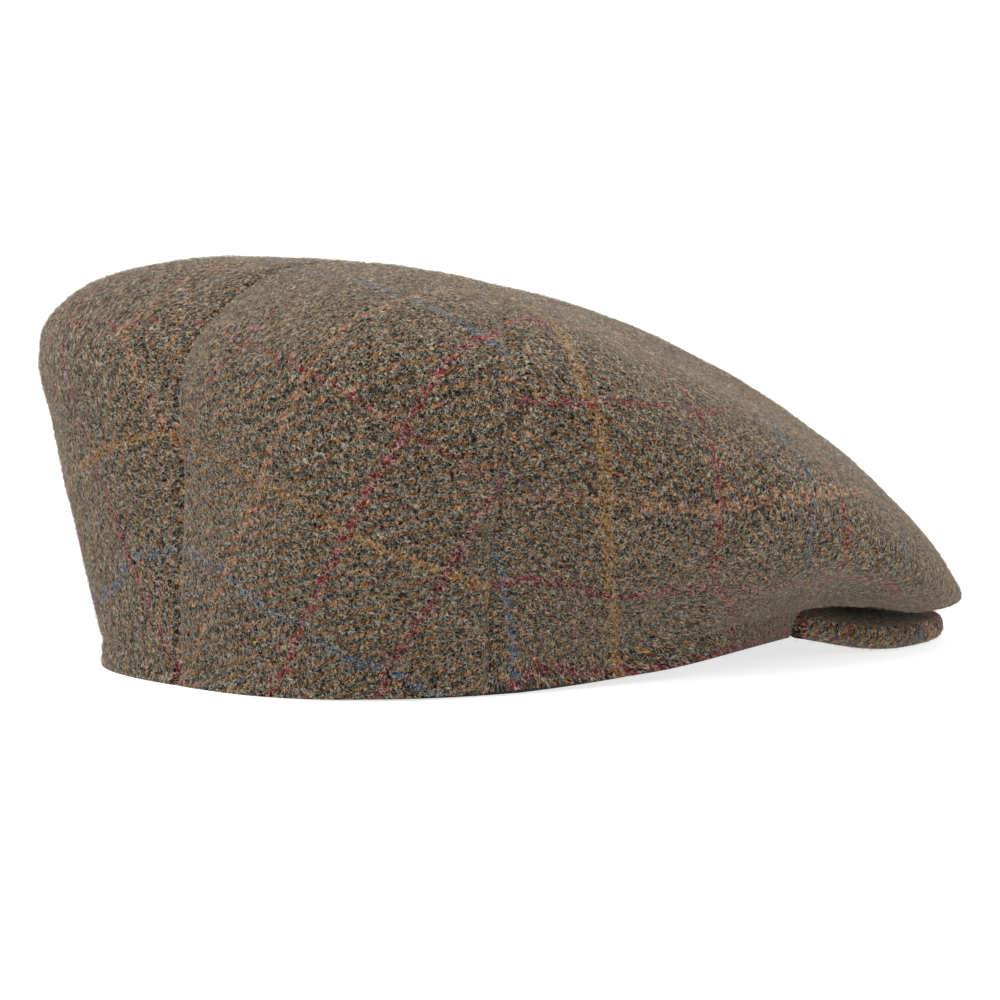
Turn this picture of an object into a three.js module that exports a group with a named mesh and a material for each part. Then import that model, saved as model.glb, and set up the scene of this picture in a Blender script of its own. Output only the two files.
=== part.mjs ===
// A flat cap in checked tweed, lying on its rim.
// X runs forward to the peak, Y to the wearer's left, Z up. The pieces are drawn from a point on the floor
// near the middle of the head opening, and the whole cap is then moved so that the origin is on the floor
// below its own middle. Sizes are in millimetres and angles in degrees.
import * as THREE from 'three';
import { mergeVertices } from 'three/addons/utils/BufferGeometryUtils.js';

// Cloth and gaps
const CLOTH = 2.5; // the crown's tweed with its backing
const HEM = 3.0; // the turned-up hem at the rim
const STITCHED = 2.2; // the cloth where the hem's stitching pulls it tight
const SEAM_GAP = 0.3; // between two panels along a seam
const PULL_IN = 4; // how far the centre back seam pulls the crown in
const PULL_WIDTH = 9; // and over what angle to each side
const POLE = new THREE.Vector3(-8, 0, 110); // where the three panels meet
const MIDDLE = 27.8; // the middle of the cap's whole length, lip and peak included

// The crown's outer face is lofted through rings, from the hem up to the pole. Each ring is a squared oval
// in plan: back and front are its ends on X, wide is where it is widest, half is its half width. The z
// columns are its heights at the centre back, side, ear, peak corner, temple and centre front, since the
// front of each ring runs down over the peak. The first four rings turn under at the front.
const RINGS = table(
  ['name', 'wall', 'back', 'wide', 'front', 'half', 'squareBack', 'squareFront',
    'zBack', 'zSide', 'zEar', 'zCorner', 'zTemple', 'zFront'], [
    ['hem', HEM, -97, -6, 103.5, 76, 2.9, 3.0, 0, 1.5, 3, 7.5, 7.2, 7],
    ['stitching', STITCHED, -96, -6, 110, 78, 2.9, 2.9, 7, 8.5, 10, 14.8, 14, 13.8],
    ['low side', CLOTH, -97, -7, 125, 87, 2.9, 2.6, 24, 27, 22, 17.3, 12.8, 12.2],
    ['wall', CLOTH, -98, -9, 144, 96, 2.9, 2.5, 42, 46, 32, 19, 10.8, 9.6],
    ['lip', CLOTH, -99, -11, 155.5, 105, 2.9, 2.5, 59, 64, 43, 22.5, 13.5, 11.3],
    ['widest', CLOTH, -100.5, -12, 149, 110, 2.9, 2.5, 75, 80, 55, 30.5, 21.5, 19],
    ['shoulder', CLOTH, -98.5, -13, 133.5, 107, 2.8, 2.5, 90, 93, 69, 44.5, 36.5, 34],
    ['crest', CLOTH, -86, -12, 112, 91, 2.7, 2.4, 103.5, 104, 85, 64, 58.5, 57],
    ['slope', CLOTH, -65.5, -11, 79, 63, 2.4, 2.3, 113, 110, 97, 84, 81.5, 81],
    ['inner', CLOTH, -37, -9, 36, 32, 2.2, 2.2, 114.5, 111.5, 106, 101.6, 100.4, 100],
    ['pole', CLOTH, -8, -8, -7.8, 0.2, 2, 2, 110, 110, 110, 110, 110, 110],
  ]);
const HEIGHT_ANGLES = [0, 26, 42, 75, 110, 180]; // from the centre front: front, temple, corner, ear, side, back
const HEIGHT_COLUMNS = ['zFront', 'zTemple', 'zCorner', 'zEar', 'zSide', 'zBack'];
const SEAM_ANGLES = [117.5, 117.5, 118, 117, 115.5, 114.5, 113.5, 113.5, 107, 98, 90]; // the ear-to-ear seam

// Where the hem meets the peak it is cut off and steps up over the peak's top
const NOTCH_ANGLE = 41.5;
const NOTCH_WIDTH = 1.5;
const NOTCH_RISE = 7;

// Where the panels' rows and columns of faces lie: rows are closer together round the lip and at the pole
const ROWS = [0, 1, 1.5, 2, 2.5, 3, 3.3, 3.65, 4, 4.35, 4.7, 5, 5.5, 6, 6.5, 7, 7.5, 8, 8.5, 9, 9.4, 9.75, 10];
const FRONT_COLUMNS = 28;
const BACK_COLUMNS = 9;

// The peak is a covered board, 6.6 thick at its rounded edge, whose ends taper out behind the hem's corner
const PEAK = { back: -90, wide: -6, front: 152, half: 69, squareBack: 3, squareFront: 4 };
const PEAK_ANGLE = 40.2;
const PEAK_COLUMNS = 36;
const PEAK_EDGE = 6.6;
const PEAK_TOP_INSIDE = 13.4; // height of its top along the head opening
const PEAK_UNDER_INSIDE = 8.6; // and of its underside
const PEAK_LOWEST = 0.3;
const PEAK_END_RISE = 7.5; // how much higher its ends are than its front edge
const PEAK_RISE_FROM = 118;
const PEAK_RISE_TO = 60;

// The sweatband lines the rim; its lower edge lies on the floor at the back and sides
const BAND = { back: -93.2, wide: -6, front: 103, half: 72, squareBack: 2.9, squareFront: 3 };
const BAND_WALL = 1.6;
const BAND_HEIGHT = 29;
const BAND_EDGE = [8.2, 8.0, 6.6, 2.2, 0, 0]; // height of its lower edge at HEIGHT_ANGLES
const BAND_COLUMNS = 72;

const TWEED = { color: 0x5f5244, roughness: 0.95, metalness: 0 };
const BAND_CLOTH = { color: 0x23242b, roughness: 0.8, metalness: 0 };

// A table whose rows become objects with the given keys
function table(columns, rows) {
  return rows.map((row) => Object.fromEntries(columns.map((key, i) => [key, row[i]])));
}

function smoothstep(from, to, value) {
  const s = THREE.MathUtils.clamp((value - from) / (to - from), 0, 1);
  return s * s * (3 - 2 * s);
}

// A smooth curve through values at 0, 1, 2 and so on
function through(values, at) {
  const last = values.length - 1;
  const i = Math.min(Math.floor(at), last - 1);
  const f = at - i;
  const [b, c] = [values[i], values[i + 1]];
  const a = i > 0 ? values[i - 1] : 2 * b - c;
  const d = i < last - 1 ? values[i + 2] : 2 * c - b;
  return b + 0.5 * f * (c - a + f * (2 * a - 5 * b + 4 * c - d + f * (3 * (b - c) + d - a)));
}

// A smooth height round half the cap, through the heights at HEIGHT_ANGLES and level at both ends
function heightRound(angle, heights) {
  const at = Math.abs(angle);
  const knots = HEIGHT_ANGLES;
  const last = knots.length - 1;
  const slope = (i) => {
    if (i === 0 || i === last) return 0;
    const before = knots[i] - knots[i - 1];
    const after = knots[i + 1] - knots[i];
    const rise = (heights[i] - heights[i - 1]) / before;
    const next = (heights[i + 1] - heights[i]) / after;
    return (rise * after + next * before) / (before + after);
  };
  const i = Math.min(knots.filter((knot) => knot <= at).length - 1, last - 1);
  const span = knots[i + 1] - knots[i];
  const s = (at - knots[i]) / span;
  return (2 * s ** 3 - 3 * s ** 2 + 1) * heights[i] + (s ** 3 - 2 * s ** 2 + s) * span * slope(i)
    + (3 * s ** 2 - 2 * s ** 3) * heights[i + 1] + (s ** 3 - s ** 2) * span * slope(i + 1);
}

// A point on a squared oval in plan, at an angle from the front, moved inward by inset
function onOval(oval, angle, inset = 0) {
  const a = THREE.MathUtils.degToRad(angle);
  const ahead = Math.cos(a) >= 0;
  const length = Math.max(ahead ? oval.front - oval.wide : oval.wide - oval.back, 0.05);
  const square = ahead ? oval.squareFront : oval.squareBack;
  const half = Math.max(oval.half, 0.05);
  const sum = (Math.abs(Math.cos(a)) / length) ** square + (Math.abs(Math.sin(a)) / half) ** square;
  const reach = sum ** (-1 / square) - inset;
  return [oval.wide + reach * Math.cos(a), reach * Math.sin(a)];
}

// A point of the crown's outer face, by its angle from the front and its place between the rings
function crownPoint(angle, ring) {
  const value = (key) => through(RINGS.map((row) => row[key]), ring);
  const oval = {};
  for (const key of ['back', 'wide', 'front', 'half', 'squareBack', 'squareFront']) oval[key] = value(key);
  const pull = Math.exp(-(((180 - Math.abs(angle)) / PULL_WIDTH) ** 2));
  const inset = PULL_IN * pull * smoothstep(1.5, 4, ring) * (1 - smoothstep(7, 9, ring));
  const [x, y] = onOval(oval, angle, inset);
  const overPeak = smoothstep(NOTCH_ANGLE + NOTCH_WIDTH / 2, NOTCH_ANGLE - NOTCH_WIDTH / 2, Math.abs(angle));
  const rise = NOTCH_RISE * overPeak * Math.max(1 - ring, 0);
  return new THREE.Vector3(x, y, heightRound(angle, HEIGHT_COLUMNS.map(value)) + rise);
}

// The way out of the crown's cloth, taken clear of the hem's step and of the pole
function crownNormal(angle, ring) {
  const side = angle < 0 ? -1 : 1;
  let at = Math.abs(angle);
  if (Math.abs(at - NOTCH_ANGLE) < 2) at = NOTCH_ANGLE + (at < NOTCH_ANGLE ? -2 : 2);
  const row = Math.min(ring, 9.8);
  const across = crownPoint(side * (at + 0.5), row).sub(crownPoint(side * (at - 0.5), row));
  const up = crownPoint(side * at, Math.min(row + 0.02, 10)).sub(crownPoint(side * at, Math.max(row - 0.02, 0)));
  const normal = across.cross(up).multiplyScalar(side);
  if (ring === 0 && Math.abs(angle) > NOTCH_ANGLE) normal.z = 0; // the hem's lower edge is level
  return normal.normalize();
}

// A closed solid from loops of points: loops[i][j] goes round the section, and the loops follow each other.
// Where joined is false, the first and the last loop are the solid's flat ends.
function solidFromLoops(loops, joined) {
  const size = loops[0].length;
  const positions = loops.flat().flatMap((point) => point.toArray());
  const index = [];
  const at = (i, j) => (i % loops.length) * size + (j % size);
  const spans = joined ? loops.length : loops.length - 1;
  for (let i = 0; i < spans; i += 1) {
    for (let j = 0; j < size; j += 1) {
      index.push(at(i, j), at(i + 1, j), at(i + 1, j + 1));
      index.push(at(i, j), at(i + 1, j + 1), at(i, j + 1));
    }
  }
  if (!joined) {
    const last = loops.length - 1;
    for (let j = 0; j < size / 2 - 1; j += 1) {
      const [a, b, c, d] = [j, j + 1, size - 2 - j, size - 1 - j];
      index.push(at(0, a), at(0, b), at(0, d), at(0, b), at(0, c), at(0, d));
      index.push(at(last, b), at(last, a), at(last, d), at(last, c), at(last, b), at(last, d));
    }
  }
  return closed(positions, index);
}

// Merges the points that coincide and drops the faces that they leave without area
function closed(positions, index) {
  const geometry = new THREE.BufferGeometry();
  geometry.setAttribute('position', new THREE.Float32BufferAttribute(positions, 3));
  geometry.setIndex(index);
  const merged = mergeVertices(geometry, 1e-4);
  const old = merged.getIndex().array;
  const kept = [];
  for (let i = 0; i < old.length; i += 3) {
    const [a, b, c] = [old[i], old[i + 1], old[i + 2]];
    if (a !== b && b !== c && c !== a) kept.push(a, b, c);
  }
  merged.setIndex(kept);
  merged.computeVertexNormals();
  return merged;
}

// One crown panel: a wall of cloth between two seams, given as angle(share, ring) with share from 0 to 1.
// tip is the way from the pole into the panel. Each seam edge stays back by half the gap.
function crownPanel(shares, angle, tip) {
  const edge = (share, ring) => {
    if (share > 0 && share < 1) return new THREE.Vector3();
    const seam = crownPoint(angle(share, Math.min(ring + 0.05, 10)), Math.min(ring + 0.05, 10));
    seam.sub(crownPoint(angle(share, Math.max(ring - 0.05, 0)), Math.max(ring - 0.05, 0)));
    const inward = crownNormal(angle(share, ring), ring).cross(seam).normalize();
    return inward.multiplyScalar((share === 0 ? -1 : 1) * SEAM_GAP / 2);
  };
  const loops = shares.map((share) => {
    const outer = [];
    const inner = [];
    for (const ring of ROWS) {
      const atPole = ring === RINGS.length - 1;
      const point = atPole ? POLE.clone().addScaledVector(tip, SEAM_GAP / 2)
        : crownPoint(angle(share, ring), ring).add(edge(share, ring));
      const normal = atPole ? new THREE.Vector3(0, 0, 1) : crownNormal(angle(share, ring), ring);
      const wall = through(RINGS.map((row) => row.wall), ring);
      outer.push(point);
      inner.push(point.clone().addScaledVector(normal, -wall));
    }
    return [...outer, ...inner.reverse()];
  });
  return solidFromLoops(loops, false);
}

function seamAngle(ring) {
  return through(SEAM_ANGLES, ring);
}

// The big front and top panel, from seam to seam over the front, with extra columns at the hem's steps
function frontPanel() {
  const steps = [-1, 1].flatMap((side) => [-1, 1].map((end) => {
    const angle = side * (NOTCH_ANGLE + end * NOTCH_WIDTH / 2);
    return 0.5 + angle / (2 * SEAM_ANGLES[0]);
  }));
  const even = Array.from({ length: FRONT_COLUMNS + 1 }, (_, i) => i / FRONT_COLUMNS);
  const clear = even.filter((share) => steps.every((step) => Math.abs(step - share) > 0.008));
  const shares = [...clear, ...steps].sort((a, b) => a - b);
  const angle = (share, ring) => (2 * share - 1) * seamAngle(ring);
  return crownPanel(shares, angle, new THREE.Vector3(1, 0, 0));
}

// A back panel, from the ear-to-ear seam to the centre back: side is -1 on the right and 1 on the left
function backPanel(side) {
  const shares = Array.from({ length: BACK_COLUMNS + 1 }, (_, i) => i / BACK_COLUMNS);
  const angle = (share, ring) => {
    const fromSeam = side > 0 ? share : 1 - share;
    return side * (seamAngle(ring) + fromSeam * (180 - seamAngle(ring)));
  };
  return crownPanel(shares, angle, new THREE.Vector3(-1, side, 0));
}

// The peak: sections from its rounded outer edge in to the sweatband, side by side from end to end
function peak() {
  const inside = { ...BAND, front: BAND.front + SEAM_GAP, half: BAND.half + SEAM_GAP };
  const loops = [];
  for (let i = 0; i <= PEAK_COLUMNS; i += 1) {
    const angle = PEAK_ANGLE * (2 * i / PEAK_COLUMNS - 1);
    const outer = onOval(PEAK, angle);
    const inner = onOval(inside, angle);
    const width = Math.hypot(outer[0] - inner[0], outer[1] - inner[1]);
    const low = PEAK_LOWEST + PEAK_END_RISE * smoothstep(PEAK_RISE_FROM, PEAK_RISE_TO, outer[0]);
    const high = low + PEAK_EDGE;
    const at = (inset, z) => {
      const share = Math.min(inset / width, 1);
      return new THREE.Vector3(
        outer[0] + (inner[0] - outer[0]) * share, outer[1] + (inner[1] - outer[1]) * share, z);
    };
    const nose = Math.min(PEAK_EDGE / 2, width / 3);
    const middle = nose + (width - nose) / 2;
    loops.push([
      at(nose, low), at(nose * 0.3, low + PEAK_EDGE * 0.15), at(0, low + PEAK_EDGE * 0.45),
      at(nose * 0.3, high - PEAK_EDGE * 0.15), at(nose, high),
      at(middle, (high + PEAK_TOP_INSIDE) / 2 + 0.3), at(width, PEAK_TOP_INSIDE),
      at(width, PEAK_UNDER_INSIDE), at(middle, low + (PEAK_UNDER_INSIDE - low) * 0.4),
      at((nose + middle) / 2, low + (PEAK_UNDER_INSIDE - low) * 0.12),
    ]);
  }
  return solidFromLoops(loops, false);
}

// The sweatband: a thin upright wall inside the rim
function sweatband() {
  const loops = [];
  for (let i = 0; i < BAND_COLUMNS; i += 1) {
    const angle = 360 * i / BAND_COLUMNS - 180;
    const low = Math.max(heightRound(angle, BAND_EDGE), 0);
    const at = (inset, z) => new THREE.Vector3(...onOval(BAND, angle, inset), z);
    loops.push([
      at(0, low), at(0, low + BAND_HEIGHT), at(BAND_WALL, low + BAND_HEIGHT), at(BAND_WALL, low)]);
  }
  return solidFromLoops(loops, true);
}

function piece(name, geometry, finish) {
  const mesh = new THREE.Mesh(geometry, new THREE.MeshStandardMaterial(finish));
  mesh.name = name;
  return mesh;
}

const cap = new THREE.Group();
cap.position.x = -MIDDLE;
cap.add(piece('front_panel', frontPanel(), TWEED));
cap.add(piece('back_panel_right', backPanel(-1), TWEED));
cap.add(piece('back_panel_left', backPanel(1), TWEED));
cap.add(piece('peak', peak(), TWEED));
cap.add(piece('sweatband', sweatband(), BAND_CLOTH));

export default cap;
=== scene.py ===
import math

import bmesh
import bpy
import numpy as np
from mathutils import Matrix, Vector, noise


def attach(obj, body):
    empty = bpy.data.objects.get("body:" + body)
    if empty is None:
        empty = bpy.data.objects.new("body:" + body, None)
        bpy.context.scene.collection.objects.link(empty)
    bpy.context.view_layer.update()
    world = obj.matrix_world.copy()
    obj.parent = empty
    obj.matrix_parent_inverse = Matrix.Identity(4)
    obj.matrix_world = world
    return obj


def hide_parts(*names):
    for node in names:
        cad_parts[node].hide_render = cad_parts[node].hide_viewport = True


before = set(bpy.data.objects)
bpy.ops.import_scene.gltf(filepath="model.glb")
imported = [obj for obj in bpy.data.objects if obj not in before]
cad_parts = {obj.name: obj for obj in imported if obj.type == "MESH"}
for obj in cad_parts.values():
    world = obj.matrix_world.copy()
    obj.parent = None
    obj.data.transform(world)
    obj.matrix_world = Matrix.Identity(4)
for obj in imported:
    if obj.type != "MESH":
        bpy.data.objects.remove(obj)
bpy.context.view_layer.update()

MM = 0.001
MIDDLE = 27.8  # the cap is drawn from the middle of its head opening and then moved back by this

# The crown's outer face runs through rings from the hem up to the pole, in millimetres
RING_COLUMNS = ("back", "wide", "front", "half", "square_back", "square_front",
                "z_back", "z_side", "z_ear", "z_corner", "z_temple", "z_front")
RINGS = np.array([
    (-97, -6, 103.5, 76, 2.9, 3.0, 0, 1.5, 3, 7.5, 7.2, 7),  # hem
    (-96, -6, 110, 78, 2.9, 2.9, 7, 8.5, 10, 14.8, 14, 13.8),  # stitching
    (-97, -7, 125, 87, 2.9, 2.6, 24, 27, 22, 17.3, 12.8, 12.2),  # low side
    (-98, -9, 144, 96, 2.9, 2.5, 42, 46, 32, 19, 10.8, 9.6),  # wall
    (-99, -11, 155.5, 105, 2.9, 2.5, 59, 64, 43, 22.5, 13.5, 11.3),  # lip
    (-100.5, -12, 149, 110, 2.9, 2.5, 75, 80, 55, 30.5, 21.5, 19),  # widest
    (-98.5, -13, 133.5, 107, 2.8, 2.5, 90, 93, 69, 44.5, 36.5, 34),  # shoulder
    (-86, -12, 112, 91, 2.7, 2.4, 103.5, 104, 85, 64, 58.5, 57),  # crest
    (-65.5, -11, 79, 63, 2.4, 2.3, 113, 110, 97, 84, 81.5, 81),  # slope
    (-37, -9, 36, 32, 2.2, 2.2, 114.5, 111.5, 106, 101.6, 100.4, 100),  # inner
    (-8, -8, -7.8, 0.2, 2, 2, 110, 110, 110, 110, 110, 110),  # pole
])
HEIGHT_ANGLES = (0, 26, 42, 75, 110, 180)  # from the front, for the columns z_front back to z_back
SEAM_ANGLES = (117.5, 117.5, 118, 117, 115.5, 114.5, 113.5, 113.5, 107, 98, 90)
NOTCH_ANGLE, NOTCH_WIDTH, NOTCH_RISE = 41.5, 1.5, 7.0
PULL_IN, PULL_WIDTH, PULL_RINGS = 4.0, 9.0, (1.5, 4, 7, 9)  # the hollow down the centre back seam
ARCH_ANGLE, ARCH_WIDTH, ARCH_RISE = 49.0, 7.5, 3.2  # where the lip lifts off the peak at its corners
ARCH_RINGS = (1.4, 3.0, 4.2, 5.8)
BAND_GAP = 0.45  # between the sweatband and the peak
SEAM_LAP, SEAM_LAP_MOST = 0.2, 0.05  # how far a panel runs on past its seams, at most this share of its width
SEAM_CROWDING = 0.11  # how much closer together a panel's columns lie along its seams
HEM_RINGS = 1.4  # up to this ring the rows lie twice as close together
CLOTH = 2.4
LAST_RING = len(RINGS) - 1

# The peak and the sweatband, in plan
PEAK = dict(back=-90, wide=-6, front=152, half=69, square_back=3, square_front=4)
PEAK_ANGLE, PEAK_EDGE, PEAK_LOWEST = 40.2, 6.6, 0.35
PEAK_TOP_INSIDE, PEAK_UNDER_INSIDE = 13.3, 8.7
PEAK_END_RISE, PEAK_RISE_FROM, PEAK_RISE_TO = 7.5, 118, 60
PEAK_CLOTH = -54  # how far forward the cloth lies on it, so that a maroon line crosses its side
BAND = dict(back=-93.2, wide=-6, front=103, half=72, square_back=2.9, square_front=3)
BAND_WALL, BAND_HEIGHT, BAND_BULGE = 1.5, 28.8, 0.35
BAND_EDGE = (8.2, 8.0, 6.6, 2.2, 0, 0)  # the height of its lower edge at the height angles

# The tweed's yarns are a little over a millimetre apart
PITCH = 1.33

# Where the check's lines cross on the right side of the cap, in millimetres, and the yarns that meet there
FRONT_CROSSINGS = (
    # x, y, z, warp yarn, weft yarn
    (-31, -83.5, 103, 1, 1), (-37.5, -109, 83, 1, -21), (-28, -103, 55.5, 1, -43), (-13, -88, 27, 1, -65),
    (-1, -76, 4, 1, -87),
    (5, -72, 94.5, 27, 1), (3, -103, 78, 27, -21), (7, -107, 51, 27, -43), (21, -92, 27, 27, -65),
    (42, -74, 7, 27, -87), (36, -92, 26, 38, -65),
    (44, -95.4, 65.7, 53, -32), (45, -98, 63, 53, -35), (44, -104.5, 48, 53, -45), (45.4, -103, 36, 53, -54),
    (57, -104, 44, 63, -49), (60, -99, 29, 63, -60), (57.7, -89.7, 23.2, 63, -68),
    (69.8, -94.3, 50.7, 73, -43), (88, -95, 31, 86, -59),
    (-46, -86.5, 104.5, -8, 1), (-58, -104, 84.5, -14, -21), (-53, -97, 57.5, -17, -43),
    (-49, -85.5, 31.5, -25, -65), (-35, -75.5, 5, -24, -87),
)
BACK_CROSSINGS = (
    (-90, -49, 22.5, 141, 1), (-73, -64, 10, 141, -21), (-97, -23, 35.5, 141, 23),
    (-86.5, -65.5, 46, 167, 1), (-66, -81, 35, 167, -21), (-97, -38, 57.5, 167, 23), (-95, -1, 68, 167, 45),
    (-81, -85, 75.5, 193, 1), (-58, -95, 60.5, 193, -21), (-96, -30, 96, 193, 45),
    (-60, -91, 101, 219, 1),
)
SPINE_YARN = 48  # the weft yarn along the middle of the front panel
SPINE_START, SPINE_START_YARN = 5, 27  # where a maroon line crosses it
TURN_UNDER = 0.6  # how much the way down from the pole counts, so that the cloth under the lip lies apart
EASE = 15  # over how many millimetres a crossing eases the cloth round it
LIP_RING, LIP_ANGLES = 5.2, (-36, -24, -12, 12, 24, 36)  # where the cloth turns under and runs straight on
LIP_LEAD = 0.8  # from how many rings above the lip its way is taken


def smoothstep(low, high, value):
    s = np.clip((value - low) / (high - low), 0, 1)
    return s * s * (3 - 2 * s)


def swell(places, value):
    """Rises from 0 to 1 between the first two places and falls back between the last two."""
    return smoothstep(places[0], places[1], value) * (1 - smoothstep(places[2], places[3], value))


def through(values, at):
    """A smooth curve through values at 0, 1, 2 and so on."""
    values = np.asarray(values, float)
    last = len(values) - 1
    at = np.clip(np.asarray(at, float), 0, last)
    i = np.minimum(at.astype(int), last - 1)
    f = at - i
    b, c = values[i], values[i + 1]
    a = np.where(i > 0, values[np.maximum(i - 1, 0)], 2 * b - c)
    d = np.where(i < last - 1, values[np.minimum(i + 2, last)], 2 * c - b)
    return b + 0.5 * f * (c - a + f * (2 * a - 5 * b + 4 * c - d + f * (3 * (b - c) + d - a)))


def height_round(angle, heights):
    """A smooth height round half the cap, level at the centre front and the centre back."""
    knots = HEIGHT_ANGLES
    heights = [np.asarray(h, float) for h in heights]
    slopes = [0 * heights[0]]
    for i in range(1, len(knots) - 1):
        before, after = knots[i] - knots[i - 1], knots[i + 1] - knots[i]
        rise, onward = (heights[i] - heights[i - 1]) / before, (heights[i + 1] - heights[i]) / after
        slopes.append((rise * after + onward * before) / (before + after))
    slopes.append(0 * heights[0])
    at = 180 - np.abs(180 - np.abs(angle))
    out = np.zeros(np.broadcast(at, heights[0]).shape)
    for i in range(len(knots) - 1):
        span = knots[i + 1] - knots[i]
        s = np.clip((at - knots[i]) / span, 0, 1)
        value = ((2 * s ** 3 - 3 * s ** 2 + 1) * heights[i] + (s ** 3 - 2 * s ** 2 + s) * span * slopes[i]
                 + (3 * s ** 2 - 2 * s ** 3) * heights[i + 1] + (s ** 3 - s ** 2) * span * slopes[i + 1])
        out = np.where((at >= knots[i]) & (at <= knots[i + 1]), value, out)
    return out


def on_oval(oval, angle, inset=0.0):
    """A point on a squared oval in plan, at an angle from the front."""
    a = np.radians(angle)
    ahead = np.cos(a) >= 0
    length = np.where(ahead, oval["front"] - oval["wide"], oval["wide"] - oval["back"])
    square = np.where(ahead, oval["square_front"], oval["square_back"])
    half = np.maximum(oval["half"], 0.05)
    total = (np.abs(np.cos(a)) / np.maximum(length, 0.05)) ** square + (np.abs(np.sin(a)) / half) ** square
    reach = total ** (-1 / square) - inset
    return oval["wide"] + reach * np.cos(a), reach * np.sin(a)


def crown(angle, ring):
    """A point of the crown's outer face, by its angle from the front and its place between the rings."""
    angle, ring = np.broadcast_arrays(np.asarray(angle, float), np.asarray(ring, float))
    part = {key: through(RINGS[:, k], ring) for k, key in enumerate(RING_COLUMNS)}
    pull = np.exp(-(((180 - np.abs(angle)) / PULL_WIDTH) ** 2))
    x, y = on_oval(part, angle, PULL_IN * pull * swell(PULL_RINGS, ring))
    heights = [part[key] for key in ("z_front", "z_temple", "z_corner", "z_ear", "z_side", "z_back")]
    notch_from, notch_to = NOTCH_ANGLE - NOTCH_WIDTH / 2, NOTCH_ANGLE + NOTCH_WIDTH / 2
    over_peak = 1 - smoothstep(notch_from, notch_to, np.abs(angle))
    z = height_round(angle, heights) + NOTCH_RISE * over_peak * np.maximum(1 - ring, 0)
    by_corner = np.exp(-(((np.abs(angle) - ARCH_ANGLE) / ARCH_WIDTH) ** 2))
    return np.stack([x, y, z + ARCH_RISE * by_corner * swell(ARCH_RINGS, ring)], -1)


def steps_along(points):
    """The distance from each point of every row to the row's first one."""
    gaps = np.linalg.norm(np.diff(points, axis=1), axis=2)
    return np.concatenate([np.zeros((len(points), 1)), np.cumsum(gaps, axis=1)], axis=1)


def steps_up(points):
    """The distance from each point of every column to the column's first one."""
    return steps_along(points.transpose(1, 0, 2)).T


def facing(points):
    """The outward direction at each point of a grid of points. At the pole it is that of the row before."""
    across = np.gradient(points, axis=1)
    up = np.gradient(points, axis=0)
    out = np.cross(across, up)
    size = np.linalg.norm(out, axis=2, keepdims=True)
    out = np.where(size > 1e-9, out / np.maximum(size, 1e-9), [0, 0, 1])
    out[-2:] = out[-3:-2]
    return out


def soft_noise(points, size, seed):
    """Gentle unevenness, from -1 to 1, with hollows about size millimetres apart."""
    flat = points.reshape(-1, 3) / size + seed
    return np.array([noise.noise(Vector(p)) for p in flat]).reshape(points.shape[:-1])


def start_grid(points):
    """A flat grid with one vertex for each point of a grid of points, and each vertex's row and column."""
    rows, columns = points.shape[0] - 1, points.shape[1] - 1
    bm = bmesh.new()
    bmesh.ops.create_grid(bm, x_segments=columns, y_segments=rows, size=1)
    flat = np.array([v.co[:2] for v in bm.verts])
    row = np.rint((flat[:, 1] + 1) / 2 * rows).astype(int)
    column = np.rint((flat[:, 0] + 1) / 2 * columns).astype(int)
    return bm, row, column


def shape_grid(bm, points):
    """Moves a grid's vertices to points in millimetres and joins those that meet."""
    for v, at in zip(bm.verts, points):
        v.co = ((at[0] - MIDDLE) * MM, at[1] * MM, at[2] * MM)
    bmesh.ops.remove_doubles(bm, verts=bm.verts[:], dist=1e-6)


def finish_piece(bm, name):
    mesh = bpy.data.meshes.new(name)
    bm.to_mesh(mesh)
    bm.free()
    mesh.shade_smooth()
    piece = bpy.data.objects.new(name, mesh)
    bpy.context.scene.collection.objects.link(piece)
    return piece


def cloth_mesh(name, points):
    """A skin of cloth on a grid of points. Each vertex keeps its number in the grid."""
    bm, row, column = start_grid(points)
    keys = bm.verts.layers.int.new("place")
    for v, key in zip(bm.verts, row * points.shape[1] + column):
        v[keys] = int(key)
    shape_grid(bm, points[row, column])
    return finish_piece(bm, name)


def grid_numbers(mesh):
    """The number in its grid of each of a skin's vertices."""
    numbers = np.zeros(len(mesh.vertices), int)
    mesh.attributes["place"].data.foreach_get("value", numbers)
    return numbers


def thicken(piece, thickness, round_edge=0.5):
    """Gives a skin its wall, inward, and rounds the wall's edges."""
    wall = piece.modifiers.new("wall", "SOLIDIFY")
    wall.thickness = thickness * MM
    wall.offset = -1
    edge = piece.modifiers.new("edges", "BEVEL")
    edge.width = round_edge * MM
    edge.segments = 2
    edge.limit_method = "ANGLE"
    edge.angle_limit = math.radians(55)


def row_places(angle, rows):
    """Ring places whose rows lie evenly up the cloth, and twice as close together at the hem."""
    fine = np.linspace(0, LAST_RING, 2001)
    path = crown(angle, fine)
    gaps = np.linalg.norm(np.diff(path, axis=0), axis=1) * (1 + (fine[1:] < HEM_RINGS))
    along = np.concatenate([[0], np.cumsum(gaps)])
    return np.interp(np.linspace(0, along[-1], rows + 1), along, fine)


def panel_points(angle_at, columns, rows, row_angle):
    """The outer face of a crown panel from seam to seam, and a little past them."""
    u = np.linspace(0, 1, columns + 1)
    u = u - SEAM_CROWDING * np.sin(2 * math.pi * u)
    ring = row_places(row_angle, rows)[:, None]
    whole = crown(angle_at(u[None, :], ring), ring)
    length = steps_along(whole)[:, -1:]
    lap = np.minimum(SEAM_LAP / np.maximum(length, 0.01), SEAM_LAP_MOST)
    share = (1 + 2 * lap) * u[None, :] - lap
    return crown(angle_at(share, ring), ring), ring


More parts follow.
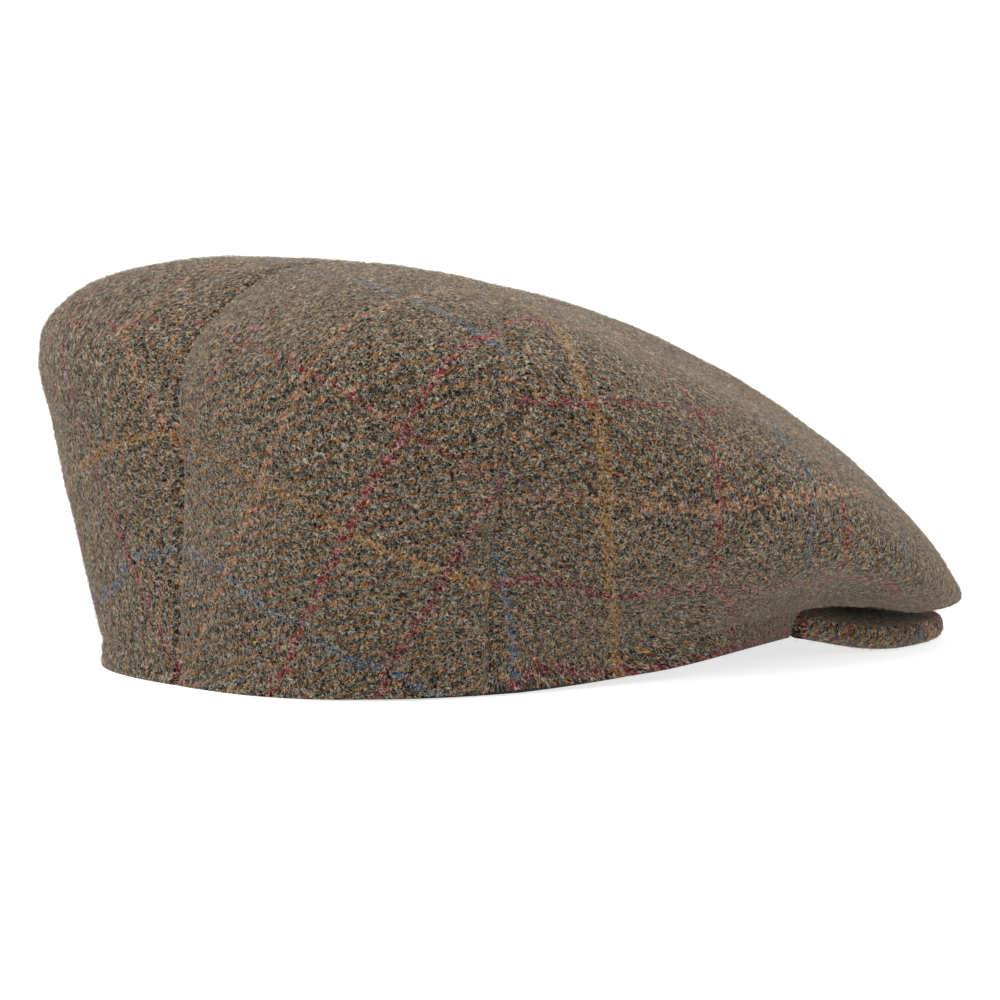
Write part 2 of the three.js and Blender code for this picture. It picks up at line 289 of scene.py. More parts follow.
SEAM_ROLL, SEAM_ROLL_WIDTH = 1.3, 1.8  # how deep the seams' edges turn in, and over what width
FLAT_SEAM, FLAT_SEAM_RINGS = 0.6, (6.5, 8.5)  # how much less they do so over the top of the crown
PUCKER, PUCKER_SIZE, PUCKER_REACH = 0.3, 5.5, 6  # the little gathers along the seams
STITCH_DEPTH, STITCH_WIDTH = 0.7, 0.12  # of the groove over the hem, its width in rings
TUCK, TUCK_SIZE = 0.3, 6.0  # the hem's unevenness under its stitches
SOFTNESS = 0.55  # how far the cloth wanders in and out over a few centimetres


def soften(points, ring, seed):
    """Turns the seams in, stitches the hem and lets the cloth lie a little unevenly."""
    out = facing(points)
    along = steps_along(points)
    near = np.minimum(along, along[:, -1:] - along)
    up = steps_up(points)
    level = np.zeros_like(up)
    inward = SEAM_ROLL * np.exp(-((near / SEAM_ROLL_WIDTH) ** 2)) * (0.4 + 0.6 * smoothstep(0, 3, up))
    inward = inward * (1 - FLAT_SEAM * smoothstep(*FLAT_SEAM_RINGS, ring))
    ripple = soft_noise(np.stack([level, up, near * 0.15], -1), PUCKER_SIZE, seed)
    inward = inward + PUCKER * ripple * np.exp(-near / PUCKER_REACH)
    groove = STITCH_DEPTH * np.exp(-(((ring - 1) / STITCH_WIDTH) ** 2))
    tucks = soft_noise(np.stack([along, up * 0.1, level], -1), TUCK_SIZE, seed + 3)
    inward = inward + groove * (1 + 0.5 * tucks)
    inward = inward + TUCK * tucks * np.exp(-np.abs(ring - 1) * 4)
    fade = smoothstep(0, 8, up) * (1 - smoothstep(9.0, 9.8, ring))  # steady at the hem and at the pole
    uneven = soft_noise(points, 24.0, seed + 7) + 0.5 * soft_noise(points, 11.0, seed + 11)
    wander = SOFTNESS * uneven * fade * (0.3 + 0.7 * smoothstep(0, 10, near))
    narrow = np.minimum(1, along[:, -1:] / 12)  # the panel's tip is too narrow to roll
    return points + out * (wander - inward * narrow)[..., None]


def pick_only(piece):
    bpy.ops.object.select_all(action="DESELECT")
    piece.select_set(True)
    bpy.context.view_layer.objects.active = piece


def unwrap(piece, crossings):
    """Flattens the cloth of a piece into its UV map, in metres, with its check's lines crossing at the places
    given, by the way that stretches the cloth least."""
    mesh = piece.data
    layer = mesh.uv_layers.new(name="cloth")
    places = np.zeros(len(mesh.vertices) * 3)
    mesh.vertices.foreach_get("co", places)
    places = places.reshape(-1, 3) / MM + [MIDDLE, 0, 0]
    held = {}
    for x, y, z, warp, weft in crossings:
        nearest = int(np.argmin(np.linalg.norm(places - [x, y, z], axis=1)))
        held[nearest] = (warp * PITCH * MM, weft * PITCH * MM)
    for loop in mesh.loops:
        at = held.get(loop.vertex_index)
        if at:
            layer.uv[loop.index].vector = at
            layer.pin[loop.index].value = True
    pick_only(piece)
    bpy.ops.object.mode_set(mode="EDIT")
    bpy.ops.mesh.select_all(action="SELECT")
    bpy.ops.uv.unwrap(method="MINIMUM_STRETCH", margin=0)
    bpy.ops.object.mode_set(mode="OBJECT")


def ease(known, yarns):
    """A smooth function that gives the yarns at any place, and the known yarns at the known places."""
    known = np.array(known)

    def reach(at):
        apart = np.sqrt(((at[:, None] - known[None]) ** 2).sum(-1) + EASE ** 2)
        return np.concatenate([apart, np.ones((len(at), 1)), at], 1)

    count = len(known)
    system = np.zeros((count + 5, count + 5))
    system[:count] = reach(known)
    system[count:, :count] = system[:count, count:].T
    weights = np.linalg.solve(system, np.concatenate([yarns, np.zeros((5, 2))]))
    return lambda at: reach(at) @ weights


def eased_cloth(points, ring, crossings):
    """The yarns that meet at each point of the front panel's grid: those given at the crossings and along the
    panel's middle, straight on round the lip, and smooth between them."""
    up = steps_up(points)
    down = up[-1:] - up
    at = np.concatenate([points, TURN_UNDER * down[..., None]], -1)
    flat = at.reshape(-1, 4)
    known, yarns = [], []
    for x, y, z, warp, weft in crossings:
        known.append(flat[np.argmin(np.linalg.norm(flat[:, :3] - [x, y, z], axis=1))])
        yarns.append((warp, weft))
    middle, near_pole = points.shape[1] // 2, slice(-1, -41, -1)
    start = np.interp(SPINE_START, points[near_pole, middle, 0], down[near_pole, middle])
    for row in range(0, len(points) - 3, 6):
        known.append(at[row, middle])
        yarns.append((SPINE_START_YARN + (down[row, middle] - start) / PITCH, SPINE_YARN))
    over_lip = ease(known, yarns)
    above, edge = (np.argmin(np.abs(ring[:, 0] - place)) for place in (LIP_RING + LIP_LEAD, LIP_RING))
    side = np.degrees(np.arctan2(points[edge, :, 1], points[edge, :, 0] - RINGS[5, 1]))
    for angle in LIP_ANGLES:
        column = np.argmin(np.abs(side - angle))
        before, here = over_lip(at[[above, edge], column])
        ahead = (here - before) / np.linalg.norm(here - before)
        for row in range(edge, -1, -8):
            known.append(at[row, column])
            yarns.append(here + ahead * (down[row, column] - down[edge, column]) / PITCH)
    return ease(known, yarns)(flat).reshape(points.shape[:2] + (2,))


def write_cloth(piece, yarns):
    """Puts a grid's yarns into the piece's UV map, in metres."""
    mesh = piece.data
    cloth = mesh.uv_layers.new(name="cloth")
    corners = np.zeros(len(mesh.loops), int)
    mesh.loops.foreach_get("vertex_index", corners)
    at = yarns.reshape(-1, 2)[grid_numbers(mesh)[corners]] * PITCH * MM
    cloth.uv.foreach_set("vector", at.ravel().astype(np.float32))


def make_panel(name, angle_at, columns, rows, row_angle, seed, crossings, eased=False):
    """A crown panel. Its rows are spaced as they need to be at row_angle from the front."""
    points, ring = panel_points(angle_at, columns, rows, row_angle)
    piece = cloth_mesh(name, soften(points, ring, seed))
    if eased:
        write_cloth(piece, eased_cloth(points, ring, crossings))
    else:
        unwrap(piece, crossings)
    thicken(piece, CLOTH)
    return piece


def seam_angle(ring):
    return through(SEAM_ANGLES, ring)


def front_angle(share, ring):
    return (2 * share - 1) * seam_angle(ring)


def right_angle(share, ring):
    return -(180 - share * (180 - seam_angle(ring)))


def left_angle(share, ring):
    return seam_angle(ring) + share * (180 - seam_angle(ring))


def peak_points(columns, rows, flat_rows):
    """The covered peak, section by section from its right end to its left one: out along its top, round its
    edge and back in underneath. Also each point's flat place on its two cloths, which meet along the edge."""
    inside = dict(BAND, front=BAND["front"] + BAND_GAP, half=BAND["half"] + BAND_GAP)
    angle = np.linspace(-PEAK_ANGLE, PEAK_ANGLE, columns + 1)
    outer = np.stack(on_oval(PEAK, angle), -1)
    inner = np.stack(on_oval(inside, angle), -1)
    width = np.linalg.norm(outer - inner, axis=1)
    low = PEAK_LOWEST + PEAK_END_RISE * smoothstep(PEAK_RISE_FROM, PEAK_RISE_TO, outer[:, 0])
    high = low + PEAK_EDGE
    nose = np.minimum(PEAK_EDGE / 2, width / 3)
    share_in = np.linspace(1, 0, flat_rows) ** 1.2  # the sections' points lie closer together at the edge
    turn = np.radians(np.linspace(90, -90, rows - 2 * flat_rows + 1)[1:-1])
    grid, flat = [], []
    for k in range(columns + 1):
        away = (outer[k] - inner[k]) / width[k]
        top_z = high[k] + (PEAK_TOP_INSIDE - high[k]) * share_in ** 1.5
        under_z = low[k] + (PEAK_UNDER_INSIDE - low[k]) * share_in ** 2.2
        inset_flat = nose[k] + (width[k] - nose[k]) * share_in
        round_inset = nose[k] - nose[k] * np.cos(turn) ** 0.8
        round_z = (high[k] + low[k]) / 2 + PEAK_EDGE / 2 * np.sin(turn)
        inset = np.concatenate([inset_flat, round_inset, inset_flat[::-1]])
        plan = outer[k] - away * inset[:, None]
        grid.append(np.column_stack([plan, np.concatenate([top_z, round_z, under_z[::-1]])]))
        level = np.zeros(flat_rows)
        over_edge = np.concatenate([level, PEAK_EDGE / 2 * (np.pi / 2 - turn), level])
        flat.append(np.where(over_edge[:, None] > 0, outer[k] + away * (over_edge[:, None] - nose[k]), plan))
    return np.array(grid).transpose(1, 0, 2), np.array(flat).transpose(1, 0, 2)


def make_peak(name, columns=150, rows=64, flat_rows=22):
    """The peak as a closed shell with its cloth map. Its under cloth starts at the row called under."""
    points, flat = peak_points(columns, rows, flat_rows)
    points, flat = np.concatenate([points, points[:1]]), np.concatenate([flat, flat[:1]])
    bm, row, column = start_grid(points)
    cloth = bm.loops.layers.uv.new("cloth")
    under = len(points) - 1 - flat_rows
    for face in bm.faces:
        below = min(row[v.index] for v in face.verts) >= under - 1
        for loop in face.loops:
            place = row[loop.vert.index], column[loop.vert.index]
            at = points[place] if below and place[0] < under else flat[place]
            loop[cloth].uv = ((at[0] + PEAK_CLOTH) * MM, at[1] * MM)
    shape_grid(bm, points[row, column])
    ends = [e for e in bm.edges if e.is_boundary]
    for face in bmesh.ops.holes_fill(bm, edges=ends, sides=0)["faces"]:
        for loop in face.loops:
            loop[cloth].uv = (loop.vert.co.y, loop.vert.co.z)
    bmesh.ops.recalc_face_normals(bm, faces=bm.faces[:])
    return finish_piece(bm, name)


def make_sweatband(name, columns=220, rows=14):
    """The band inside the rim, a ring that bulges a little, with its cloth map run once round it."""
    angle = np.linspace(-180, 180, columns + 1)[None, :]
    share = np.linspace(0, 1, rows + 1)[:, None]
    low = np.maximum(height_round(angle, BAND_EDGE), 0)
    x, y = on_oval(BAND, angle, BAND_BULGE * np.sin(math.pi * share))
    z = low + BAND_HEIGHT * share
    points = np.stack([x, y, z], -1)
    piece = cloth_mesh(name, points)
    mesh = piece.data
    cloth = mesh.uv_layers.new(name="cloth")
    around = steps_along(points)[0]
    numbers = grid_numbers(mesh)
    for face in mesh.polygons:
        row, column = np.divmod(numbers[list(face.vertices)], columns + 1)
        closing = np.ptp(column) > columns / 2  # the face that closes the ring
        for i, r, c in zip(face.loop_indices, row, column):
            run = around[-1] if closing and c == 0 else around[c]
            cloth.uv[i].vector = (run * MM, BAND_HEIGHT * r / rows * MM)
    thicken(piece, BAND_WALL, 0.3)
    return piece


def dye(red, green, blue):
    """A colour as seen on screen, each part between 11 and 255, in the light's own scale."""
    return (*(((part / 255 + 0.055) / 1.055) ** 2.4 for part in (red, green, blue)), 1)


WHITE = (1, 1, 1, 1)


class Loom:
    """Adds nodes to one material and joins them as they are added."""

    def __init__(self, name):
        self.material = bpy.data.materials.new(name)
        self.material.use_nodes = True
        self.tree = self.material.node_tree
        self.tree.nodes.clear()

    def join(self, value, socket):
        if isinstance(value, bpy.types.NodeSocket):
            self.tree.links.new(value, socket)
        else:
            socket.default_value = value

    def node(self, kind, **settings):
        made = self.tree.nodes.new(kind)
        for key, value in settings.items():
            setattr(made, key, value)
        return made

    def maths(self, operation, *values):
        made = self.node("ShaderNodeMath", operation=operation)
        for value, socket in zip(values, made.inputs):
            self.join(value, socket)
        return made.outputs[0]

    def vector(self, operation, a, b=None, scale=None):
        made = self.node("ShaderNodeVectorMath", operation=operation)
        self.join(a, made.inputs[0])
        if b is not None:
            self.join(b, made.inputs[1])
        if scale is not None:
            self.join(scale, made.inputs["Scale"])
        return made.outputs[0]

    def gather(self, x, y, z=0.0):
        made = self.node("ShaderNodeCombineXYZ")
        for value, socket in zip((x, y, z), made.inputs):
            self.join(value, socket)
        return made.outputs[0]

    def parts(self, vector):
        made = self.node("ShaderNodeSeparateXYZ")
        self.join(vector, made.inputs[0])
        return made.outputs

    def noise(self, vector, scale, detail=2.0, rough=0.5, colour=False):
        made = self.node("ShaderNodeTexNoise")
        self.join(vector, made.inputs["Vector"])
        made.inputs["Scale"].default_value = scale
        made.inputs["Detail"].default_value = detail
        made.inputs["Roughness"].default_value = rough
        return made.outputs["Color" if colour else "Fac"]

    def chance(self, vector):
        made = self.node("ShaderNodeTexWhiteNoise", noise_dimensions="3D")
        self.join(vector, made.inputs["Vector"])
        return made.outputs["Value"]

    def mix(self, share, a, b, how="MIX"):
        made = self.node("ShaderNodeMix", data_type="RGBA", blend_type=how)
        self.join(share, made.inputs["Factor"])
        self.join(a, made.inputs[6])
        self.join(b, made.inputs[7])
        return made.outputs[2]

    def either(self, switch, a, b):
        """a where switch is 0 and b where it is 1, for numbers."""
        made = self.node("ShaderNodeMix", data_type="FLOAT")
        self.join(switch, made.inputs[0])
        self.join(a, made.inputs[2])
        self.join(b, made.inputs[3])
        return made.outputs[0]

    def ramp(self, value, stops, how="LINEAR", both=False):
        made = self.node("ShaderNodeValToRGB")
        made.color_ramp.interpolation = how
        while len(made.color_ramp.elements) < len(stops):
            made.color_ramp.elements.new(0.5)
        for element, (place, colour) in zip(made.color_ramp.elements, stops):
            element.position = place
            element.color = colour
        self.join(value, made.inputs[0])
        return made.outputs[:2] if both else made.outputs[0]

    def span(self, value, low, high, to_low=0.0, to_high=1.0):
        made = self.node("ShaderNodeMapRange", interpolation_type="SMOOTHSTEP")
        for part, socket in zip((value, low, high, to_low, to_high), made.inputs):
            self.join(part, socket)
        return made.outputs[0]

    def finish(self, colour, height, depth, strength=1.0, roughness=0.92, sheen=0.3, tint=WHITE, gloss=0.25):
        """Cloth of a colour, with its relief of a depth in millimetres."""
        bump = self.node("ShaderNodeBump")
        bump.inputs["Strength"].default_value = strength
        bump.inputs["Distance"].default_value = depth * MM
        self.join(height, bump.inputs["Height"])
        cloth = self.node("ShaderNodeBsdfPrincipled")
        self.join(colour, cloth.inputs["Base Color"])
        self.join(roughness, cloth.inputs["Roughness"])
        cloth.inputs["Specular IOR Level"].default_value = gloss
        cloth.inputs["Sheen Weight"].default_value = sheen
        cloth.inputs["Sheen Roughness"].default_value = 0.25
        cloth.inputs["Sheen Tint"].default_value = tint
        self.join(bump.outputs[0], cloth.inputs["Normal"])
        out = self.node("ShaderNodeOutputMaterial")
        self.tree.links.new(cloth.outputs[0], out.inputs[0])
        return self.material


RED = dye(118, 28, 40)
MAROON = dye(106, 30, 40)
ORANGE = dye(140, 94, 66)
YELLOW = dye(130, 93, 44)
BLUE = dye(56, 80, 102)

# The check's lines, two yarns wide, by the yarn that each starts at, and how many yarns until they repeat
WARP_LINES = ((0, YELLOW), (26, MAROON), (52, BLUE), (62, RED), (85, BLUE), (111, MAROON), (140, BLUE),
              (166, YELLOW), (192, MAROON), (218, BLUE))
WARP_REPEAT = 244
WEFT_LINES = ((0, RED), (22, ORANGE), (44, MAROON))
WEFT_REPEAT = 66
UNDER_SHOW = 0.4  # how much of a line's colour its fuzz spreads over the yarns that cross above it
TWILL = 4.0  # the weave repeats after this many yarns, over two and under two
DEEP_SHADE = 0.03  # how dark it is between the strands


def checked_tweed(name, lightness):
    """Two-and-two twill of rust weft and charcoal warp, with coloured lines both ways and a brushed face. Its
    lightness is how much the strands that catch the light brighten the dyes."""
    loom = Loom(name)
    cloth = loom.node("ShaderNodeUVMap", uv_map="cloth").outputs[0]
    yarns = loom.vector("SCALE", cloth, scale=1 / (PITCH * MM))

    def wander(scale, reach, detail=2.0):
        drift = loom.vector("SUBTRACT", loom.noise(yarns, scale, detail, 0.6, colour=True), (0.5, 0.5, 0.5))
        return loom.vector("SCALE", drift, scale=reach)

    # The yarns wander over a few centimetres, from yarn to yarn and within each yarn
    bent = loom.vector("ADD", yarns, wander(0.11, 2.0, 1.0))
    bent = loom.vector("ADD", bent, wander(0.8, 1.5))
    bent = loom.vector("ADD", bent, wander(2.4, 0.7))
    x, y, _ = loom.parts(bent)
    i, j = loom.maths("FLOOR", x), loom.maths("FLOOR", y)
    step = loom.maths("FLOORED_MODULO", loom.maths("ADD", i, j), TWILL)
    warp_up = loom.maths("LESS_THAN", step, TWILL / 2 - 0.5)
    warp_float = loom.maths("FLOOR", loom.maths("DIVIDE", loom.maths("ADD", i, y), TWILL))
    weft_float = loom.maths("FLOOR", loom.maths("DIVIDE", loom.maths("ADD", x, j), TWILL))

    # Strands lie along the yarn that is on top
    sway = loom.vector("ADD", yarns, wander(0.9, 1.3))
    sx, sy, _ = loom.parts(sway)

    def strands(across, along, offset):
        down = loom.gather(loom.maths("MULTIPLY", sx, across), loom.maths("MULTIPLY", sy, along), offset)
        over = loom.gather(loom.maths("MULTIPLY", sx, along), loom.maths("MULTIPLY", sy, across), offset)
        place = loom.node("ShaderNodeMix", data_type="VECTOR")
        loom.join(warp_up, place.inputs[0])
        loom.join(over, place.inputs[4])
        loom.join(down, place.inputs[5])
        return loom.noise(place.outputs[1], 1.0, 2.0, 0.6)

    strand = strands(2.0, 0.7, 0.0)
    tone_strand = strands(1.5, 0.5, 9.0)

    def curled(scale, thin, offset, low, high):
        """Thin crooked lines, like single fibres, in patches."""
        place = loom.vector("ADD", sway, (offset, offset * 0.7, offset * 0.3))
        run = loom.noise(place, scale, 1.5, 0.5)
        line = loom.span(loom.maths("ABSOLUTE", loom.maths("SUBTRACT", run, 0.5)), thin * 0.3, thin, 1.0, 0.0)
        patch = loom.noise(place, scale * 0.9, 1.0)
        return loom.maths("MULTIPLY", line, loom.span(patch, low, high))

    long_curl = curled(0.9, 0.026, 13.0, 0.45, 0.54)
    short_curl = curled(1.3, 0.03, 29.0, 0.46, 0.55)
    curl_line = loom.maths("MAXIMUM", long_curl, short_curl)
    tangle_line = curled(1.1, 0.05, 47.0, 0.42, 0.52)

    warp_tone = loom.chance(loom.gather(i, warp_float, 3.0))
    weft_tone = loom.chance(loom.gather(weft_float, j, 8.0))
    chance = loom.either(warp_up, weft_tone, warp_tone)
    tone = loom.maths("ADD", loom.maths("MULTIPLY", chance, 0.35),
                      loom.maths("MULTIPLY", loom.span(tone_strand, 0.3, 0.7), 0.65))
    warp_colour = loom.ramp(tone, [
        (0.0, dye(28, 29, 31)), (0.35, dye(46, 46, 45)), (0.65, dye(74, 70, 61)), (0.85, dye(112, 105, 90)),
        (1.0, dye(162, 154, 135))])
    weft_colour = loom.ramp(tone, [
        (0.0, dye(48, 36, 27)), (0.35, dye(80, 57, 38)), (0.65, dye(108, 74, 46)), (0.85, dye(142, 94, 58)),
        (1.0, dye(184, 134, 94))])

    def line(yarn, repeat, colours):
        """The colour of the line that a yarn belongs to, and 1 on a line's two yarns or 0 between lines."""
        step = loom.maths("FLOORED_MODULO", yarn, float(repeat))
        place = loom.maths("DIVIDE", loom.maths("ADD", step, 0.5), float(repeat))
        stops = []
        for start, colour in colours:
            stops.append((start / repeat, colour))
            stops.append(((start + 2) / repeat, (*colour[:3], 0)))
        return loom.ramp(place, stops, "CONSTANT", both=True)

    warp_line, on_warp = line(i, WARP_REPEAT, WARP_LINES)
    weft_line, on_weft = line(j, WEFT_REPEAT, WEFT_LINES)
    worn = loom.span(loom.noise(yarns, 0.7, 2.0), 0.36, 0.56, 0.65, 1.0)
    beneath = loom.maths("MULTIPLY", worn, UNDER_SHOW)
    on_top = loom.mix(warp_up, weft_colour, warp_colour)
    warp_share = loom.maths("MULTIPLY", on_warp, loom.either(warp_up, beneath, worn))
    weft_share = loom.maths("MULTIPLY", on_weft, loom.either(warp_up, worn, beneath))
    colour = loom.mix(weft_share, loom.mix(warp_share, on_top, warp_line), weft_line)
    shade = loom.span(strand, 0.36, 0.64, DEEP_SHADE, lightness)
    colour = loom.mix(1.0, colour, loom.gather(shade, shade, shade), "MULTIPLY")
    colour = loom.mix(loom.maths("MULTIPLY", tangle_line, 0.85), colour, dye(22, 21, 20))
    colour = loom.mix(loom.maths("MULTIPLY", curl_line, 0.7), colour, dye(176, 166, 144))
    height = loom.maths("ADD", loom.span(strand, 0.3, 0.7), loom.maths("MULTIPLY", curl_line, 0.5))
    return loom.finish(colour, height, 0.5, strength=0.8, sheen=0.32, tint=dye(235, 226, 208), gloss=0.05)


RIB_PITCH, THREAD_PITCH = 0.9, 0.45


def ribbed_band(name):
    """A dark woven band with fine upright ribs across its threads."""
    loom = Loom(name)
    cloth = loom.node("ShaderNodeUVMap", uv_map="cloth").outputs[0]
    x, y, _ = loom.parts(cloth)
    rib = loom.maths("SINE", loom.maths("MULTIPLY", x, 2 * math.pi / (RIB_PITCH * MM)))
    thread = loom.maths("SINE", loom.maths("MULTIPLY", y, 2 * math.pi / (THREAD_PITCH * MM)))
    weave = loom.maths("MULTIPLY", loom.maths("ADD", rib, 1.0), loom.maths("ADD", thread, 1.4))
    fibres = loom.noise(cloth, 2600.0, 2.0)
    tone = loom.maths("ADD", loom.maths("MULTIPLY", weave, 0.14), loom.maths("MULTIPLY", fibres, 0.6))
    colour = loom.ramp(tone, [(0.1, dye(20, 21, 26)), (0.6, dye(46, 47, 54)), (1.0, dye(78, 78, 84))])
    height = loom.maths("ADD", weave, loom.maths("MULTIPLY", fibres, 0.6))
    return loom.finish(colour, height, 0.12, roughness=0.8, sheen=0.15, gloss=0.3)


def loose_wool(name):
    """Short loose fibres, brown to pale grey."""
    loom = Loom(name)
    place = loom.node("ShaderNodeTexCoord").outputs["Object"]
    tone = loom.noise(place, 900.0, 1.0)
    colour = loom.ramp(tone, [(0.3, dye(84, 66, 50)), (0.45, dye(128, 112, 92)), (0.58, dye(174, 162, 142)),
                              (0.7, dye(210, 202, 186))])
    return loom.finish(colour, tone, 0.02, strength=0.1, roughness=0.9, sheen=0.2, gloss=0.1)


# The loose hairs, in millimetres
HAIR_POINTS = 5
HAIR_HALF_WIDTH = 0.028
HAIR_SHORTEST, HAIR_LONGEST = 0.8, 2.6
HAIR_RISE, HAIR_LEAST_RISE, HAIR_ROOT = 0.85, 0.08, 0.15
HAIR_BEND, HAIR_BEND_SHARES = 1.5, (0.4, 1.2)
HAIR_TURN = 0.0  # how far a hair's root may turn from its first direction, which is drawn already


def fuzz(name, piece, hairs, seed):
    """Short curled hairs standing out of a piece's outer face, each a narrow ribbon."""
    draw = np.random.default_rng(seed)
    faces = piece.data.polygons
    centres = np.array([f.center[:] for f in faces])
    outward = np.array([f.normal[:] for f in faces])
    areas = np.array([f.area for f in faces])
    chosen = draw.choice(len(faces), size=hairs, p=areas / areas.sum())
    side = np.sqrt(areas[chosen])[:, None]
    curve = bpy.data.curves.new(name, "CURVE")
    curve.dimensions = "3D"
    curve.extrude = HAIR_HALF_WIDTH * MM
    n = outward[chosen]
    t = np.cross(n, draw.normal(size=n.shape))
    t /= np.linalg.norm(t, axis=1, keepdims=True)
    b = np.cross(n, t)
    across = draw.uniform(-1, 1, (hairs, 1)) * t + draw.uniform(-1, 1, (hairs, 1)) * b
    place = centres[chosen] + side * 0.5 * across
    length = draw.uniform(HAIR_SHORTEST, HAIR_LONGEST, hairs) * MM
    rise = draw.beta(1.2, 3.0, hairs) * HAIR_RISE * MM + HAIR_LEAST_RISE * MM
    bend = draw.normal(0, HAIR_BEND, hairs)
    tilt = draw.uniform(0, math.pi, hairs)
    heading = draw.uniform(0, HAIR_TURN, hairs)
    path = [place - n * HAIR_ROOT * MM]
    steps = HAIR_POINTS - 1
    for k in range(1, HAIR_POINTS):
        heading = heading + bend * draw.uniform(*HAIR_BEND_SHARES, hairs)
        c, s = np.cos(heading)[:, None], np.sin(heading)[:, None]
        place = place + (c * t + s * b) * (length / steps)[:, None]
        lift = rise * math.sin(math.pi * min(k / steps, 0.8))
        path.append(place + n * lift[:, None])
    path = np.stack(path, 1)
    for k in range(hairs):
        spline = curve.splines.new("POLY")
        spline.points.add(steps)
        spline.points.foreach_set("co", np.column_stack([path[k], np.ones(HAIR_POINTS)]).ravel())
        spline.points.foreach_set("tilt", np.full(HAIR_POINTS, tilt[k]))
    ribbons = bpy.data.objects.new(name, curve)
    bpy.context.scene.collection.objects.link(ribbons)
    pick_only(ribbons)
    bpy.ops.object.convert(target="MESH")
    return bpy.context.view_layer.objects.active


def put_on(piece, material):
    piece.data.materials.clear()
    piece.data.materials.append(material)


PANEL_ROWS, FRONT_COLUMNS, BACK_COLUMNS = 128, 236, 96

mirrored_front = [(x, -y, z, warp, 2 * SPINE_YARN - weft) for x, y, z, warp, weft in FRONT_CROSSINGS]
mirrored_back = [(x, -y, z, warp, 2 - weft) for x, y, z, warp, weft in BACK_CROSSINGS]
front = make_panel("front_cloth", front_angle, FRONT_COLUMNS, PANEL_ROWS, 60, 2.0,
                   [*FRONT_CROSSINGS, *mirrored_front], eased=True)
right = make_panel("right_cloth", right_angle, BACK_COLUMNS, PANEL_ROWS, 150, 31.0, BACK_CROSSINGS)
left = make_panel("left_cloth", left_angle, BACK_COLUMNS, PANEL_ROWS, 150, 57.0, mirrored_back)
brim = make_peak("peak_cloth")
band = make_sweatband("band_cloth")

tweed = checked_tweed("checked tweed", 1.34)
# painted light: the peak wears a lighter copy of the same tweed (lightness 1.6 against 1.34), standing in for
# light that the lip's shade keeps off the top of the peak
peak_tweed = checked_tweed("checked tweed lightened as painted light on the peak", 1.6)
ribbed = ribbed_band("dark ribbed band")
wool = loose_wool("loose wool")

DRESSED = (
    (front, "front_panel", "tweed", tweed),
    (right, "back_panel_right", "tweed", tweed),
    (left, "back_panel_left", "tweed", tweed),
    (brim, "peak", "peak_tweed", peak_tweed),
    (band, "sweatband", "sweatband", ribbed),
)
for piece, node, slot, finish in DRESSED:
    put_on(piece, finish)
    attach(piece, "root")
    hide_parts(node)

# Each one's name, the piece that it grows on, how many hairs, its seed and its finish in the record
FUZZ = (("front_fuzz", front, 24000, 11, "tweed"), ("front_fuzz_more", front, 24000, 15, "tweed"),
        ("right_fuzz", right, 20000, 12, "tweed"), ("left_fuzz", left, 20000, 13, "tweed"),
        ("peak_fuzz", brim, 5000, 14, "peak_tweed"))
for name, piece, hairs, seed, slot in FUZZ:
    hair = fuzz(name, piece, hairs, seed)
    put_on(hair, wool)
    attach(hair, "root")


def pale_floor():
    """A wide plain floor, lit from within like a light table, so that only a faint shadow shows on it."""
    bm = bmesh.new()
    bmesh.ops.create_grid(bm, x_segments=1, y_segments=1, size=6)
    floor = finish_piece(bm, "floor")
    loom = Loom("pale floor")
    shader = loom.node("ShaderNodeBsdfPrincipled")
    shader.inputs["Base Color"].default_value = (0.42, 0.42, 0.42, 1)
    shader.inputs["Emission Color"].default_value = WHITE
    shader.inputs["Emission Strength"].default_value = 0.74
    shader.inputs["Roughness"].default_value = 0.9
    shader.inputs["Specular IOR Level"].default_value = 0.1
    out = loom.node("ShaderNodeOutputMaterial")
    loom.tree.links.new(shader.outputs[0], out.inputs[0])
    put_on(floor, loom.material)
    return floor


floor = pale_floor()


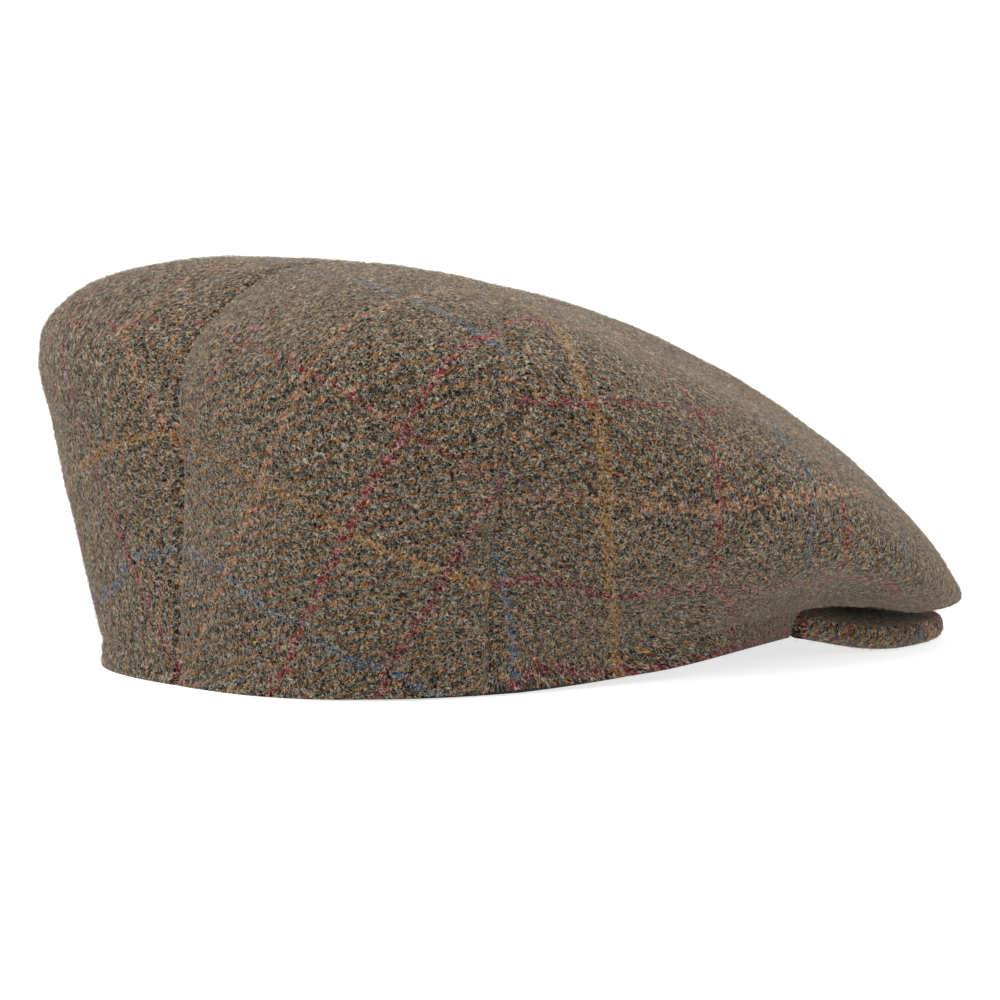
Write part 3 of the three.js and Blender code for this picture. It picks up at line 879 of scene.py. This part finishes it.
def softbox(name, place, aim, size, power):
    """A round lamp at a place, turned to what it lights, in metres and watts."""
    data = bpy.data.lights.new(name, "AREA")
    data.shape = "DISK"
    data.size = size
    data.energy = power
    lamp = bpy.data.objects.new(name, data)
    lamp.location = place
    lamp.rotation_euler = (Vector(aim) - Vector(place)).to_track_quat("-Z", "Y").to_euler()
    bpy.context.scene.collection.objects.link(lamp)


softbox("overhead", (-0.3, -0.4, 1.6), (0, 0, 0.05), 1.6, 19)
softbox("from_the_left", (-1.5, -0.5, 0.9), (0, 0, 0.05), 1.0, 12)
softbox("from_the_front", (1.2, -1.3, 0.25), (0.08, 0, 0.03), 0.9, 10)

world = bpy.data.worlds.new("studio")
world.use_nodes = True
backdrop = world.node_tree.nodes["Background"]
backdrop.inputs["Color"].default_value = WHITE
backdrop.inputs["Strength"].default_value = 1.08
bpy.context.scene.world = world

VIEW_SIDE, VIEW_ABOVE, VIEW_AWAY = -38.0, 5.9, 2.5  # degrees, degrees and metres
VIEW_AT = (-0.0078, 0.0, 0.05)
PICTURE = 1000  # picture points across and down
ZOOM = 3.518  # picture points for each millimetre at VIEW_AT
AT_ACROSS, AT_DOWN = 508.9, 479.0  # where VIEW_AT lies in the picture
SENSOR = 36

side, above = math.radians(VIEW_SIDE), math.radians(VIEW_ABOVE)
back = Vector((math.sin(side) * math.cos(above), -math.cos(side) * math.cos(above), math.sin(above)))
camera = bpy.data.objects.new("camera", bpy.data.cameras.new("camera"))
camera.location = Vector(VIEW_AT) + back * VIEW_AWAY
camera.rotation_mode = "QUATERNION"
camera.rotation_quaternion = back.to_track_quat("Z", "Y")
camera.data.sensor_width = SENSOR
camera.data.lens = ZOOM * VIEW_AWAY / MM / PICTURE * SENSOR
camera.data.shift_x = (PICTURE / 2 - AT_ACROSS) / PICTURE
camera.data.shift_y = (AT_DOWN - PICTURE / 2) / PICTURE
bpy.context.scene.collection.objects.link(camera)
bpy.context.scene.camera = camera
bpy.context.scene.view_settings.view_transform = "Standard"
